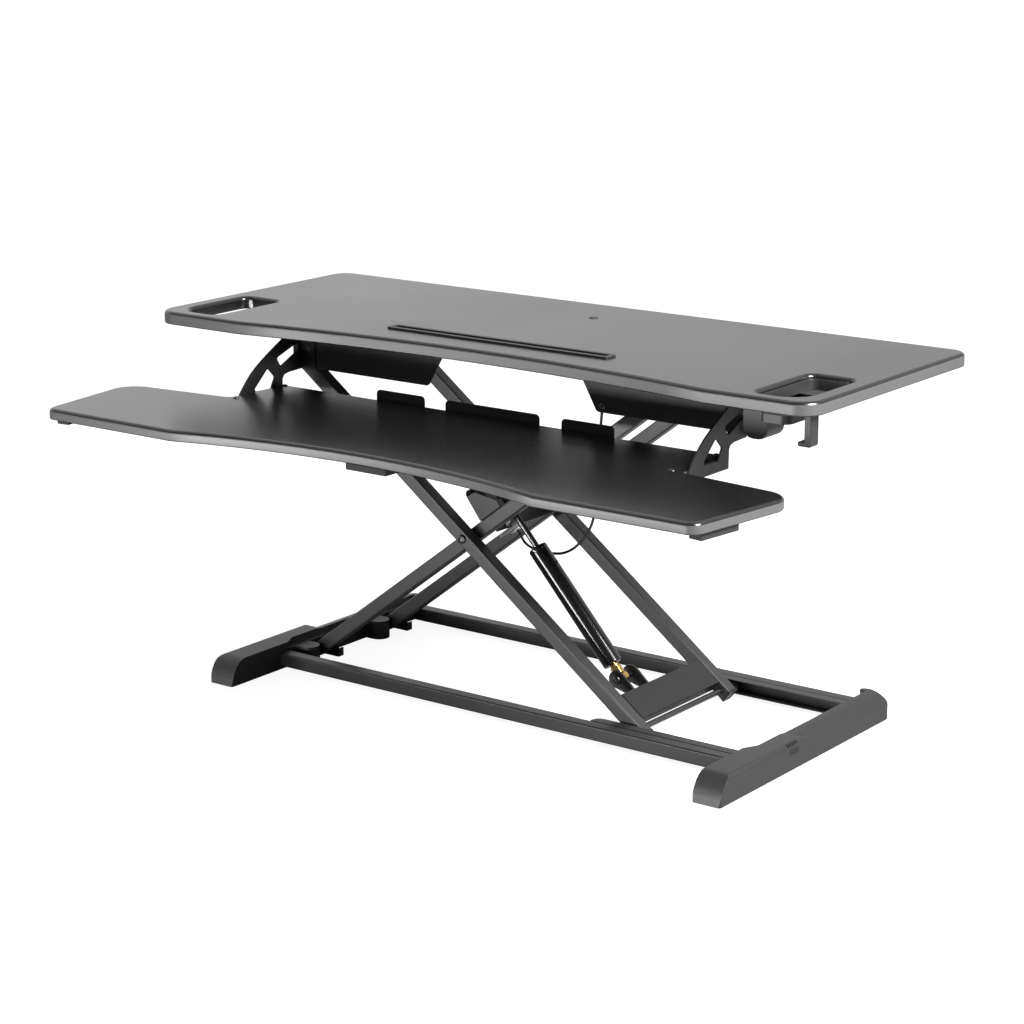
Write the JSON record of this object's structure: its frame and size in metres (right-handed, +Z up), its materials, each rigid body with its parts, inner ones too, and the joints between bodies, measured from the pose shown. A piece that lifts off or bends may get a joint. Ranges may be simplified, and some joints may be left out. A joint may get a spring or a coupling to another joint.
{
  "type": "standing desk converter",
  "caption": "Black standing desk converter with crossed lift arms, a wide desktop with hand holes, a lower keyboard tray and a gas spring.",
  "frame": {"origin": "centre of the overall box, on the surface it stands on", "axes": "+X to the user's right, +Y away from the user, +Z up"},
  "size_m": [1.081, 0.6486, 0.5299],
  "materials": {
    "powder_coated_steel": "matte",
    "black_laminate": "satin",
    "moulded_plastic": "satin",
    "rubber": "matte",
    "dark_steel": "satin",
    "gloss_black_paint": "gloss",
    "zinc_plate": "satin",
    "brass": "satin"
  },
  "bodies": {
    "base": {"left_foot": "moulded_plastic", "right_foot": "moulded_plastic", "front_pivot_bracket": "powder_coated_steel", "rear_pivot_bracket": "powder_coated_steel", "front_pivot_pin": "dark_steel", "rear_pivot_pin": "dark_steel", "front_base_rail": "powder_coated_steel", "rear_base_rail": "powder_coated_steel", "front_roller_track": "powder_coated_steel", "rear_roller_track": "powder_coated_steel", "front_left_pad": "rubber", "front_right_pad": "rubber", "rear_left_pad": "rubber", "rear_right_pad": "rubber"},
    "inner_frame": {"inner_arm_front": "powder_coated_steel", "inner_arm_rear": "powder_coated_steel", "inner_cross_bracket": "powder_coated_steel", "upper_roller_shaft": "dark_steel", "valve_lever_bracket": "zinc_plate", "release_cable": "rubber"},
    "valve_arm": {"valve_lever": "zinc_plate"},
    "upper_front_wheel": {"upper_roller_front": "moulded_plastic"},
    "upper_rear_wheel": {"upper_roller_rear": "moulded_plastic"},
    "outer_frame": {"outer_arm_front": "powder_coated_steel", "outer_arm_rear": "powder_coated_steel", "outer_cross_plate": "powder_coated_steel", "lower_roller_shaft": "dark_steel", "arm_end_cap_front": "moulded_plastic", "arm_end_cap_rear": "moulded_plastic", "clevis_pin": "dark_steel", "centre_bolt_front": "dark_steel", "centre_bolt_rear": "dark_steel"},
    "lower_front_wheel": {"lower_roller_front": "moulded_plastic"},
    "lower_rear_wheel": {"lower_roller_rear": "moulded_plastic"},
    "spring_cylinder": {"rod_end_fitting": "brass", "gas_cylinder": "gloss_black_paint"},
    "spring_rod": {"gas_rod": "dark_steel", "rod_head": "moulded_plastic"},
    "platform": {"desktop": "black_laminate", "tablet_slot_trim": "moulded_plastic", "hole_plug": "moulded_plastic", "keyboard_tray": "black_laminate", "tray_stop_plate": "powder_coated_steel", "tray_centre_foot": "rubber", "left_tray_foot": "rubber", "right_tray_foot": "rubber", "left_tray_hanger": "powder_coated_steel", "right_tray_hanger": "powder_coated_steel", "left_front_desk_rail": "powder_coated_steel", "left_rear_desk_rail": "powder_coated_steel", "right_front_desk_rail": "powder_coated_steel", "right_rear_desk_rail": "powder_coated_steel", "upper_pivot_bolt_front": "dark_steel", "upper_pivot_bolt_rear": "dark_steel", "right_lever_housing": "moulded_plastic", "headset_hook": "moulded_plastic"},
    "right_squeeze_lever": {"right_release_lever": "moulded_plastic"}
  },
  "joints": [
    {"name": "lift", "type": "hinge", "parent": "base", "child": "inner_frame", "pos_m": [-0.37642, 0.1517, 0.01625], "axis": [0, 1, 0], "range_deg": [-1.5, 34.1], "deforming": ["release_cable"]},
    {"name": "cross", "type": "hinge", "parent": "inner_frame", "child": "outer_frame", "pos_m": [-0.08648, 0.1517, 0.23632], "axis": [0, 1, 0], "range_deg": [-68.3, 3.1]},
    {"name": "level", "type": "hinge", "parent": "outer_frame", "child": "platform", "pos_m": [-0.37642, 0.1517, 0.4564], "axis": [0, 1, 0], "range_deg": [-1.6, 34.2]},
    {"name": "cylinder_swing", "type": "hinge", "parent": "outer_frame", "child": "spring_cylinder", "pos_m": [0.13993, 0.097, 0.06322], "axis": [0, 1, 0], "range_deg": [-0.2, 2.6]},
    {"name": "rod_stroke", "type": "slide", "parent": "spring_cylinder", "child": "spring_rod", "axis": [-0.6666, 0, 0.7454], "range_m": [-0.0749, 0.0034]},
    {"name": "upper_front_roll", "type": "hinge", "parent": "inner_frame", "child": "upper_front_wheel", "pos_m": [0.20346, 0.038, 0.4564], "axis": [0, 1, 0], "continuous": true},
    {"name": "upper_rear_roll", "type": "hinge", "parent": "inner_frame", "child": "upper_rear_wheel", "pos_m": [0.20346, 0.2655, 0.4564], "axis": [0, 1, 0], "continuous": true},
    {"name": "lower_front_roll", "type": "hinge", "parent": "outer_frame", "child": "lower_front_wheel", "pos_m": [0.20346, 0.0198, 0.01625], "axis": [0, 1, 0], "continuous": true},
    {"name": "lower_rear_roll", "type": "hinge", "parent": "outer_frame", "child": "lower_rear_wheel", "pos_m": [0.20346, 0.2836, 0.01625], "axis": [0, 1, 0], "continuous": true},
    {"name": "valve_pull", "type": "hinge", "parent": "inner_frame", "child": "valve_arm", "pos_m": [-0.04727, 0.1092, 0.24751], "axis": [0, -1, 0], "range_deg": [0, 5], "stiffness_Nm_per_rad": 0.05, "springref_deg": -11.46},
    {"name": "right_squeeze", "type": "hinge", "parent": "platform", "child": "right_squeeze_lever", "pos_m": [0.413, -0.0103, 0.49445], "axis": [0, -1, 0], "range_deg": [0, 4], "stiffness_Nm_per_rad": 0.5, "springref_deg": -8.59}
  ],
  "couplings": [
    {"joint": "cross", "follows": "lift", "ratio": -2},
    {"joint": "level", "follows": "lift", "ratio": 1},
    {"joint": "cylinder_swing", "follows": "lift", "ratio": 0.074},
    {"joint": "rod_stroke", "follows": "lift", "m_per_rad": -0.1255}
  ]
}
